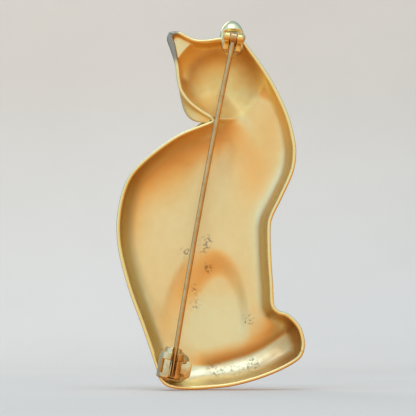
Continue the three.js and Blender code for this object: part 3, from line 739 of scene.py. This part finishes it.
def ear_lump(material):
    """The full rounded ear behind the head, flattened where the pin joint sits."""
    rows, columns = 40, 56
    turn = np.linspace(0, 2 * np.pi, columns, endpoint=False)
    rise = np.linspace(-np.pi / 2, np.pi / 2, rows)[:, None]
    x = EAR_LUMP[0] + EAR_LUMP_RADII[0] * np.cos(rise) * np.cos(turn)
    y = EAR_LUMP[1] + EAR_LUMP_RADII[1] * np.cos(rise) * np.sin(turn)
    z = EAR_LUMP[2] + EAR_LUMP_RADII[2] * np.sin(rise) + 0 * turn
    hollow = 1.1 * bump(x, z, (-3.9, 33.0), 1.1, 1.3)
    y = np.where(y < EAR_LUMP[1], y + hollow, y)
    seat = smoothstep(z, 32.6, 33.5) * 2.0
    y = np.minimum(y, seat)
    points = np.stack([x, y, z], axis=-1).reshape(-1, 3)
    return make_mesh("ear_lump", points, grid_faces(rows, columns, around=True), material)


def catch_boss(material):
    """Solid post in the corner of the hollow, under the safety catch."""
    outline_points = rounded_rectangle(*BOSS_SIZE, BOSS_CORNER)
    boss = extrusion("boss", outline_points, BOSS_FLOOR, BOSS_TOP, material)
    for corner in boss.data.vertices:
        if corner.co.z < BOSS_FLOOR * MM / 2:
            corner.co.xy *= BOSS_TAPER
    boss.data.transform(Matrix.Rotation(-math.pi / 2, 4, "X"))
    bevel(boss, 0.3)
    return to_pin_frame(boss, -CATCH_DISTANCE, CATCH_OFFSET - BOSS_SHIFT, -STEM_HEIGHT)


def cat_shell(material):
    """Outer and inner surface, joined by a rolled rim, with the ear lump and the catch's post."""
    outer, inner = shell_surfaces()
    rows, columns = outer.shape[:2]
    count = rows * columns
    points = [outer.reshape(-1, 3), inner.reshape(-1, 3)]
    faces = grid_faces(rows, columns) + grid_faces(rows, columns, start=count, flip=True)

    index = border(np.arange(count).reshape(rows, columns, 1))[:, 0]
    rings = [index]
    first, last = points[0][index], points[1][index]
    for ring in range(1, RIM_RINGS):
        f = ring / RIM_RINGS
        rolled = lerp(first, last, f)
        rolled[:, 1] = -RIM_ROLL + RIM_ROLL * (1 - abs(2 * f - 1) ** 2) ** 0.5
        rings.append(np.arange(len(index)) + sum(len(p) for p in points))
        points.append(rolled)
    rings.append(index + count)
    for near, far in zip(rings, rings[1:]):
        for k in range(len(index)):
            after = (k + 1) % len(index)
            faces.append((near[after], near[k], far[k], far[after]))
    shell = make_mesh("cat_shell_cast", np.concatenate(points), faces, material)
    boolean(shell, "UNION", ear_lump(material), catch_boss(material))
    paint_masks(shell.data)
    return shell


TARNISH_SPOTS = (
    (-0.3, -30.9), (-1.6, -31.5), (-4.7, -31.3), (-7.4, -30.6), (-8.2, -30.1), (-7.1, -21.9),
    (0.7, -6.7), (1.1, -8.4), (4.8, -9.0), (0.7, -12.2), (2.9, -15.9), (2.9, -19.1),
)


def components(vertices, attribute):
    """The three parts of a vector that every vertex has."""
    values = np.empty(len(vertices) * 3)
    vertices.foreach_get(attribute, values)
    return values.reshape(-1, 3).T


def paint_masks(mesh):
    """Where the shell is polished or tarnished, and where shade and reflections are painted on it, as
    numbers on its points.
    """
    x, y, z = components(mesh.vertices, "co") / MM
    sideways, _, upward = components(mesh.vertices, "normal")
    distance = to_outline(np.stack([x, z], axis=1))[0]
    radius, angle = around_head(x, z)
    floor_y = -np.maximum(floor_depth(x, z), 0.1)
    inner = smoothstep(y, floor_y - 0.35, floor_y + 0.1)

    from_lump = [(a - b) / c for a, b, c in zip((x, y, z), EAR_LUMP, EAR_LUMP_RADII)]
    shine = 1 - smoothstep(np.sqrt(sum(part**2 for part in from_lump)), 1.0, 1.12)
    rim = smoothstep(y, -0.4, -0.1) * (1 - smoothstep(distance, 1.2, 1.5)) * (1 - shine)
    # painted shade: the rim strip at the tip of the ear, painted dark grey
    wear = smoothstep(y, -0.6, -0.2) * smoothstep(x, 5.6, 6.6) * smoothstep(z, 26.0, 28.0)
    tarnish = sum(bump(x, z, spot, 1.1) for spot in TARNISH_SPOTS) * inner

    # painted shade: steep walls inside the rim, below the shoulder and strongest where they face -X, are
    # painted dark olive
    wall = 1 - smoothstep(distance - RIM_WIDTH, 1.6, 4.6)
    steepness = smoothstep(np.abs(sideways), 0.25, 0.8)
    towards_back = lerp(0.5, 1.0, smoothstep(-sideways, -0.5, 0.5))
    wall_shade = wall * inner * steepness * towards_back * (1 - smoothstep(z, 8, 16)) * (1 - shine)

    # painted shade: the tail's crease, the foot and the top of the head's bowl are painted dark warm orange
    height = above_crease(x, z)
    groove = np.exp(-((height / np.where(height > 0, 1.9, 0.8)) ** 2)) * (1 - smoothstep(x, -0.5, 3.0))
    foot = 0.7 * bump(x, z, (-13.5, -26.5), 5.0)
    dome = smoothstep(radius, 2.0, 8.0) * smoothstep(np.abs(angle), 35, 125)
    dome = dome * (1 - in_ear(x, z)) * in_head(x, z)
    warm = np.maximum(np.maximum(groove, foot), dome) * inner * (1 - shine)

    bowl_height = np.abs(z - HEAD_CENTRE[1] + 1.0)
    low = 1 - smoothstep(z, -24.0, -2.0)
    # painted reflection: walls near the base that face upwards are painted pale lemon
    base_wall = smoothstep(upward, 0.15, 0.55) * (1 - smoothstep(z, -27.5, -24.5))
    masks = {
        "rim": rim,
        "shine": shine,
        "wear": wear,
        "tarnish": tarnish,
        "wall_shade": wall_shade,
        "warm": warm,
        "bowl": in_head(x, z) * (1 - smoothstep(bowl_height, 5.5, 8.0)) * inner,
        "low": low,
        # painted reflection: walls of the lower back, towards +X, are painted greener
        "green": low * smoothstep(x, 0, 6),
        "upward_sheen": 0.8 * base_wall * inner * (1 - foot),
    }
    for name, values in masks.items():
        layer = mesh.attributes.new(name, "FLOAT", "POINT")
        layer.data.foreach_set("value", np.clip(values, 0, 1).astype(np.float32))


# ---- Face enamel ----
EYE_SPACING = 2.9
EYE_Z = FACE_CENTRE[1] + 1.5
EYE_HALF = 1.45
EYE_HIGH = 0.95
EYE_TILT = 0.22
EYE_FLOOR = FACE_FRONT - 0.24
EYE_TOP = FACE_FRONT + 0.2
PUPIL_FLOOR = FACE_FRONT + 0.21
PUPIL_TOP = FACE_FRONT + 0.50
BEZEL_REACH = 0.12  # the bezel's wire runs this far outside the eye
BEZEL_LEVEL = FACE_FRONT + 0.15
NOSE_Z = FACE_CENTRE[1] - 1.5
NOSE_HALF = 0.8
NOSE_FLOOR = FACE_FRONT + 0.81
NOSE_TOP = FACE_FRONT + 1.55


def almond(half, high, tilt, steps=24):
    """Closed outline of two shallow curves that meet in points at both ends."""
    t = np.linspace(0, 1, steps, endpoint=False)
    top = np.stack([half * (1 - 2 * t), 4 * high * t * (1 - t)], axis=1)
    low = np.stack([half * (2 * t - 1), -3.4 * high * t * (1 - t)], axis=1)
    both = np.concatenate([top, low])
    turn = np.array([[math.cos(tilt), math.sin(tilt)], [-math.sin(tilt), math.cos(tilt)]])
    return both @ turn


def nose_outline(half, steps=10):
    """Closed outline of a triangle with a dipped top and full sides."""
    t = np.linspace(0, 1, steps, endpoint=False)[:, None]
    corners = np.array([(half, 0.55 * half), (-half, 0.55 * half), (0, -0.8 * half)])
    pulls = np.array([(0, 0.95 * half), (-0.7 * half, -0.3 * half), (0.7 * half, -0.3 * half)])
    parts = []
    for k in range(3):
        a, b, c = corners[k], pulls[k], corners[(k + 1) % 3]
        parts.append((1 - t) ** 2 * a + 2 * t * (1 - t) * b + t**2 * c)
    return np.concatenate(parts)


def domed(name, outline_points, centre, bottom, top, crown, material, rings=8):
    """A cabochon: straight sides from bottom to top, then a shallow dome, facing -Y."""
    points, count = [], len(outline_points)
    levels = [(1.0, bottom), (1.0, top)]
    for ring in range(1, rings):
        f = ring / rings
        levels.append((math.cos(f * math.pi / 2), top + crown * math.sin(f * math.pi / 2)))
    for scale, level in levels:
        for a, b in outline_points:
            points.append((centre[0] + a * scale, -level, centre[1] + b * scale))
    faces = grid_faces(len(levels), count, around=True)
    points.append((centre[0], -(top + crown), centre[1]))
    last = (len(levels) - 1) * count
    faces += [(last + k, last + (k + 1) % count, len(points) - 1) for k in range(count)]
    faces.append(tuple(range(count))[::-1])
    return make_mesh(name, points, faces, material, 40)


def bezel(name, outline_points, centre, level, radius, material, sides=10):
    """A round wire of metal that follows an outline on the face."""
    path = np.asarray(outline_points)
    tangent = np.roll(path, -1, axis=0) - np.roll(path, 1, axis=0)
    normal = np.stack([tangent[:, 1], -tangent[:, 0]], axis=1)
    normal /= np.linalg.norm(normal, axis=1, keepdims=True)
    points = []
    for (a, b), (na, nb) in zip(path, normal):
        for side in range(sides):
            turn = 2 * math.pi * side / sides
            out = radius * math.cos(turn)
            lift = level + radius * math.sin(turn)
            points.append((centre[0] + a + na * out, -lift, centre[1] + b + nb * out))
    faces = grid_faces(len(path), sides, around=True)
    last = (len(path) - 1) * sides
    for side in range(sides):
        after = (side + 1) % sides
        faces.append((last + side, last + after, after, side))
    return make_mesh(name, points, faces, material)


# ---- Build ----
gold = satin_gold()
polished = finding_gold("polished_gold", POLISHED, 0.10)
joint_gold = finding_gold("joint_gold", JOINT, 0.12)
wire = finding_gold("wire_gold", WIRE, 0.16, streaks=(1.0, 1.0, 0.06))
solder = solder_metal()
green = enamel("green_enamel", GREEN)
black = enamel("black_enamel", BLACK)
rose = enamel("rose_enamel", ROSE)


def place(piece, body, slot, *nodes):
    """Attaches a piece to its moving body and hides the CAD nodes that it stands for; slot is not used."""
    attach(piece, body)
    if nodes:
        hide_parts(*nodes)


def build_face():
    for side, sign in (("left", 1), ("right", -1)):
        centre = (FACE_CENTRE[0] + sign * EYE_SPACING, EYE_Z)
        eye = almond(EYE_HALF, EYE_HIGH, sign * EYE_TILT)
        fill = domed(f"eye_{side}", eye, centre, EYE_FLOOR, EYE_TOP, 0.35, green)
        place(fill, ROOT, "green_enamel", f"eye_enamel_{side}")
        slit = almond(0.85, 0.28, math.pi / 2)
        bead = domed(f"pupil_{side}_bead", slit, centre, PUPIL_FLOOR, PUPIL_TOP, 0.12, black)
        place(bead, ROOT, "black_enamel", f"pupil_{side}")
        around = almond(EYE_HALF + BEZEL_REACH, EYE_HIGH + BEZEL_REACH, sign * EYE_TILT)
        ring = bezel(f"eye_bezel_{side}", around, centre, BEZEL_LEVEL, 0.17, gold)
        place(ring, ROOT, "satin_gold")
    centre = (FACE_CENTRE[0], NOSE_Z)
    nose = domed("nose", nose_outline(NOSE_HALF), centre, NOSE_FLOOR, NOSE_TOP, 0.2, rose)
    place(nose, ROOT, "rose_enamel", "nose_enamel")


def rounded_band(inner, outer, low, high, corner, steps=4):
    """Closed (radius, height) section with round corners."""
    outline_points = rounded_rectangle(outer - inner, high - low, corner, steps)
    return [(r + (inner + outer) / 2, h + (low + high) / 2) for r, h in outline_points]


def arc_sweep(name, section, material, start=None, end=None, steps=72):
    """Sweeps a section of (radius, height) about the catch's axis, from -X towards +Y.
    Without a start and an end in radians it goes from wall to wall of the slot."""
    points = []
    for step in range(steps + 1):
        for radius, height in section:
            low = slot_wall(radius, 1) if start is None else start
            high = slot_wall(radius, -1) + 2 * math.pi if end is None else end
            turn = lerp(low, high, step / steps)
            points.append((-radius * math.cos(turn), radius * math.sin(turn), height))
    count = len(section)
    faces = grid_faces(steps + 1, count, around=True)
    faces.append(tuple(range(count))[::-1])
    faces.append(tuple(range(steps * count, (steps + 1) * count)))
    return make_mesh(name, points, faces, material, 35)


def slot_wall(radius, side):
    """Angle at which a circle meets a wall of the slot: side 1 is the far wall, -1 the near one."""
    wall = SLOT_CENTRE + side * SLOT_WIDTH / 2
    return math.acos(max(-1.0, min(1.0, -wall / radius)))


def lower_hoop():
    """Section of the barrel's lower end, which turns in to a lip."""
    curl = LIP_RADIUS + 0.05
    inside, outside = HOUSING_BORE - curl, HOUSING_RADIUS - curl
    low = -HALF_HOUSING + 0.3
    top = -HALF_HOUSING + BOTTOM_HOOP
    turns = np.linspace(0, math.pi / 2, 7)
    section = [(HOUSING_RADIUS, top), (HOUSING_BORE, top), (HOUSING_BORE, low)]
    section += [(curl + inside * math.cos(t), low - 0.28 * math.sin(t)) for t in turns[1:]]
    section += [(LIP_RADIUS, low - 0.32), (LIP_RADIUS, low - 0.4)]
    section += [(curl + outside * math.sin(t), low - 0.45 * math.cos(t)) for t in turns]
    return section


def build_housing():
    """C-shaped barrel: two hoops, a back between them and a foot on the solder."""
    band = rounded_band(HOUSING_BORE, HOUSING_RADIUS, HALF_HOUSING - TOP_HOOP, HALF_HOUSING, 0.16)
    barrel = arc_sweep("catch_barrel", band, polished)
    hoop = arc_sweep("hoop", lower_hoop(), polished)
    reach = HALF_HOUSING - 0.2
    spine = rounded_band(HOUSING_BORE, HOUSING_RADIUS - 0.01, -reach, reach, 0.12)
    back = arc_sweep("back", spine, polished, math.radians(140), math.radians(338))
    foot_outline = rounded_rectangle(*FOOT_SIZE, 0.5)
    foot = extrusion("foot", foot_outline, HOUSING_RADIUS - FOOT_HEIGHT, HOUSING_RADIUS, polished)
    foot.data.transform(Matrix.Rotation(math.pi / 2, 4, "X"))
    bore = lathe("bore", [(0, -3), (HOUSING_BORE, -3), (HOUSING_BORE, 3), (0, 3)], polished)
    boolean(foot, "DIFFERENCE", bore)
    boolean(barrel, "UNION", hoop, back, foot, sharp=35)
    to_pin_frame(barrel, -CATCH_DISTANCE, CATCH_OFFSET)
    place(barrel, ROOT, "polished_gold", "catch_housing")


# Thumb tab, across and along the catch's axis: a neck and a rounded paddle
TAB_OUTLINE = (
    (-1.7, -1.3), (-2.5, -1.3), (-2.75, -1.75), (-3.2, -1.9), (-3.65, -1.6), (-3.8, -0.9), (-3.8, 0.3),
    (-3.65, 1.0), (-3.2, 1.3), (-2.75, 1.2), (-2.5, 0.75), (-1.7, 0.75),
)


def build_roller():
    """Turning sleeve with a domed collar above the housing and a thumb tab in its window."""
    low, high = -HALF_HOUSING + 0.4, HALF_HOUSING - 0.1
    collar_top = HALF_HOUSING + COLLAR_LENGTH
    edge = 0.1
    profile = [(ROLLER_BORE, low + edge), (ROLLER_BORE + edge, low)]
    profile += [(ROLLER_RADIUS - edge, low), (ROLLER_RADIUS, low + edge)]
    profile += [(ROLLER_RADIUS, high - edge), (ROLLER_RADIUS - edge, high)]
    profile += [(COLLAR_RADIUS + 0.06, high + 0.08), (COLLAR_RADIUS, high + 0.22)]
    profile += [
        (ROLLER_BORE + 0.08 + 0.3 * math.cos(t), collar_top - 0.45 + 0.45 * math.sin(t))
        for t in np.linspace(0, math.pi / 2, 7)
    ]
    profile.append((ROLLER_BORE, collar_top - 0.12))
    sleeve = arc_sweep("catch_sleeve", profile, polished)
    tab = extrusion("tab", TAB_OUTLINE, -TAB_THICKNESS / 2, TAB_THICKNESS / 2, polished)
    tab.data.transform(Matrix.Rotation(math.pi / 2, 4, "X"))
    bevel(tab, 0.14)
    boolean(sleeve, "UNION", tab, sharp=35)
    to_pin_frame(sleeve, -CATCH_DISTANCE, CATCH_OFFSET)
    place(sleeve, ROLLER, "polished_gold", "catch_roller")


def build_bracket():
    """U bracket: a floor and two cheeks with round tops, bored for the rivet."""
    floor = -STEM_HEIGHT + 0.5
    side = [(floor, -BRACKET_TAIL), (floor, BRACKET_HEAD), (0.0, CHEEK_TOP)]
    side += [
        (CHEEK_TOP * math.sin(math.pi * k / 20), CHEEK_TOP * math.cos(math.pi * k / 20))
        for k in range(1, 20)
    ]
    side += [(0.0, -CHEEK_TOP), (floor + 0.95, -1.35)]
    side += [(floor + 0.8, -BRACKET_TAIL + 0.1), (floor + 0.7, -BRACKET_TAIL)]
    cheeks = extrusion("joint_ears", side[::-1], -BRACKET_WIDTH / 2, BRACKET_WIDTH / 2, joint_gold, "x")
    inside = [(-CHEEK_GAP / 2, 3.0), (-CHEEK_GAP / 2, floor + 0.9)]
    inside += [
        (-CHEEK_GAP / 2 + 0.35 * (1 - math.cos(t)), floor + 0.75 - 0.33 * math.sin(t))
        for t in np.linspace(0.2, math.pi / 2, 6)
    ]
    inside += [(-a, b) for a, b in reversed(inside)]
    channel = extrusion("channel", inside, -4.0, 4.0, polished)
    bore = RIVET_RADIUS + 0.05
    hole = lathe("hole", [(0, -4), (bore, -4), (bore, 4), (0, 4)], polished, "x")
    boolean(cheeks, "DIFFERENCE", channel, hole)
    bevel(cheeks, 0.1)
    place(to_pin_frame(cheeks), ROOT, "polished_gold", "joint_bracket")


def build_rivet():
    """Rivet with a domed head outside each cheek."""
    reach = BRACKET_WIDTH / 2 + 0.05
    head = [(0.0, reach + RIVET_HEAD_HEIGHT)]
    head += [
        (RIVET_HEAD_RADIUS * math.sin(t), reach + RIVET_HEAD_HEIGHT * math.cos(t) ** 0.7)
        for t in np.linspace(0.3, math.pi / 2 - 0.05, 7)
    ]
    head += [(RIVET_HEAD_RADIUS, reach), (RIVET_RADIUS, reach)]
    profile = [(r, -h) for r, h in head] + [(r, h) for r, h in reversed(head)]
    rivet = lathe("joint_rivet_turned", profile, joint_gold, "x")
    place(to_pin_frame(rivet), ROOT, "polished_gold", "joint_rivet")


def build_stem():
    """Long wire, a little bowed, with a round point and an eye about the rivet."""
    length = CATCH_DISTANCE + 1.9
    shoulder = length - POINT_LENGTH
    sides = 28
    point = shoulder + np.linspace(0.2, POINT_LENGTH, 26)
    along = np.concatenate([np.linspace(0.75, shoulder, 120), point])
    taper = np.clip((length - along) / POINT_LENGTH, 0, 1)
    radius = STEM_RADIUS * np.where(taper < 1, 0.06 + 0.94 * np.sqrt(1 - (1 - taper) ** 2), 1.0)
    points = []
    for a, r in zip(along, radius):
        bow = STEM_BOW * 4 * (a / length) * (1 - a / length)
        for side in range(sides):
            turn = 2 * math.pi * side / sides
            points.append((bow + r * math.cos(turn), r * math.sin(turn), -a))
    faces = grid_faces(len(along), sides, around=True, flip=True)
    faces.append(tuple(range(sides)))
    faces.append(tuple(range((len(along) - 1) * sides, len(along) * sides))[::-1])
    stem = make_mesh("pin_wire", points, faces, wire, 50)
    bore = RIVET_RADIUS + BORE_CLEARANCE
    section = rounded_band(bore, EYE_RADIUS, -EYE_WIDTH / 2, EYE_WIDTH / 2, 0.2, 5)
    eye = lathe("eye", section, wire, "x", 56)
    boolean(stem, "UNION", eye, sharp=50)
    place(to_pin_frame(stem), STEM, "wire_gold", "pin_stem")


def build_solder(name, node, size, top, thickness, seed, along, across=0.0):
    """A flat pool of solder with an uneven edge and a rounded top, sunk into the metal below."""
    rings, sides = 18, 96
    points = []
    for ring in range(rings + 1):
        f = ring / rings
        fall = thickness * (1 - math.sqrt(max(0.0, 1 - f**5)))
        for side in range(sides):
            turn = 2 * math.pi * side / sides
            corner = (abs(math.cos(turn)) ** 4 + abs(math.sin(turn)) ** 4) ** -0.25
            uneven = 1 + 0.05 * math.sin(3 * turn + seed) + 0.035 * math.sin(7 * turn + 2 * seed)
            out = corner * uneven * f / 2
            lift = top - fall + 0.03 * math.sin(5 * turn + seed) * f
            points.append((size[0] * out * math.cos(turn), lift, size[1] * out * math.sin(turn)))
    points += [(x * 0.96, y - 0.25, z * 0.96) for x, y, z in points[rings * sides :]]
    faces = grid_faces(rings + 2, sides, around=True)
    faces.append(tuple(range((rings + 1) * sides, (rings + 2) * sides)))
    blob = make_mesh(name, points, faces, solder)
    place(to_pin_frame(blob, along, across), ROOT, "solder", node)


# ---- Stage, light and camera, in metres ----
def build_stage(material):
    """A floor that curves up into a wall on the far side of the camera's view."""
    floor = cad_low.z - 0.0001
    front_y, wall_y, wall_height, curve, steps = 0.6, -0.50, 0.9, 0.16, 16
    profile = [(front_y, floor), (0.0, floor)]
    for step in range(steps + 1):
        turn = math.pi / 2 * step / steps
        profile.append((wall_y + curve * (1 - math.sin(turn)), floor + curve * (1 - math.cos(turn))))
    profile.append((wall_y, floor + wall_height))
    xs = np.linspace(-1.0, 1.0, 5)
    points = [(x / MM, y / MM, z / MM) for y, z in profile for x in xs]
    faces = grid_faces(len(profile), len(xs), flip=True)
    stage = make_mesh("pale_floor", points, faces, material, closed=False)
    stage.visible_glossy = False


def add_aimed(thing, direction):
    """Adds a light or a camera to the scene, facing the given way."""
    thing.rotation_mode = "QUATERNION"
    thing.rotation_quaternion = direction.to_track_quat("-Z", "Y")
    bpy.context.scene.collection.objects.link(thing)


def area_light(name, at, size, power, colour):
    """A rectangular light that shines on the middle of the brooch."""
    data = bpy.data.lights.new(name, "AREA")
    data.shape = "RECTANGLE"
    data.size, data.size_y = size
    data.energy = power
    data.color = colour
    made = bpy.data.objects.new(name, data)
    made.location = at
    add_aimed(made, -Vector(at))


WINDOW_DIRECTION = (0.30, 0.0, 0.95)
ROOM_STEPS = (  # from the side away from the window to the window
    (0.00, (0.56, 0.23, 0.08)),
    (0.30, (0.84, 0.47, 0.19)),
    (0.46, (0.90, 0.72, 0.46)),
    (0.57, (0.80, 0.90, 0.92)),
    (0.80, (0.74, 1.02, 1.36)),
)
BACKDROP = (0.78, 0.74, 0.70)


def build_world():
    """Soft window light from above and +X and a warm room below, half as strong on the face's side."""
    world = Nodes(bpy.data.worlds.new("studio"))
    around = world.coordinates["Generated"]
    inputs = {0: around, 1: WINDOW_DIRECTION}
    height = world.node("ShaderNodeVectorMath", inputs, "Value", operation="DOT_PRODUCT")
    height = world.node("ShaderNodeMapRange", {"Value": height, "From Min": -1.0}, "Result")
    room = world.node("ShaderNodeValToRGB", {"Fac": height}, "Color")
    steps = room.node.color_ramp.elements
    while len(steps) < len(ROOM_STEPS):
        steps.new(0.5)
    for step, (position, colour) in zip(steps, ROOM_STEPS):
        step.position = position
        step.color = (*colour, 1.0)
    backwards = world.node("ShaderNodeSeparateXYZ", {0: around}, "Y")
    dimming = world.ramp(backwards, -0.3, 0.3, 0.5, 1.0)
    room = world.node("ShaderNodeVectorMath", {0: room, "Scale": dimming}, "Vector", operation="SCALE")
    seen = world.node("ShaderNodeLightPath", {}, "Is Camera Ray")
    colour = world.mix(seen, room, BACKDROP)
    world.put(world.tree.nodes["Background"], "Color", colour)
    bpy.context.scene.world = world.owner


def build_camera():
    """Faces the open back, a little from below, as the brooch is seen in the hand."""
    distance, elevation, width = 0.26, math.radians(-6.0), 0.0782
    aim = Vector((0.000475, 0, -0.0011))
    back = Vector((0, math.cos(elevation), math.sin(elevation)))
    data = bpy.data.cameras.new("camera")
    data.lens = data.sensor_width * distance / width
    data.clip_start = 0.01
    made = bpy.data.objects.new("camera", data)
    made.location = aim + back * distance
    add_aimed(made, -back)
    bpy.context.scene.camera = made


# ---- The scene ----
build_camera()
place(cat_shell(gold), ROOT, "satin_gold", "cat_shell")
build_face()
build_bracket()
build_rivet()
build_stem()
build_housing()
build_roller()
build_solder("joint_solder", "joint_patch", (4.2, 4.3), -STEM_HEIGHT + 0.47, 0.42, 1.3, -0.5)
build_solder(
    "catch_solder", "catch_patch", (4.9, 6.0), -HOUSING_RADIUS - 0.02, 0.5, 4.1,
    -CATCH_DISTANCE - 0.1, CATCH_OFFSET - BOSS_SHIFT,
)
build_stage(pale_paper())
area_light("key", (0.03, 0.20, 0.36), (0.30, 0.22), 0.25, (1.0, 0.98, 0.95))
area_light("front", (0.2, -0.32, 0.35), (0.3, 0.3), 0.35, (1.0, 0.98, 0.96))
build_world()
bpy.context.scene.view_settings.view_transform = "Standard"
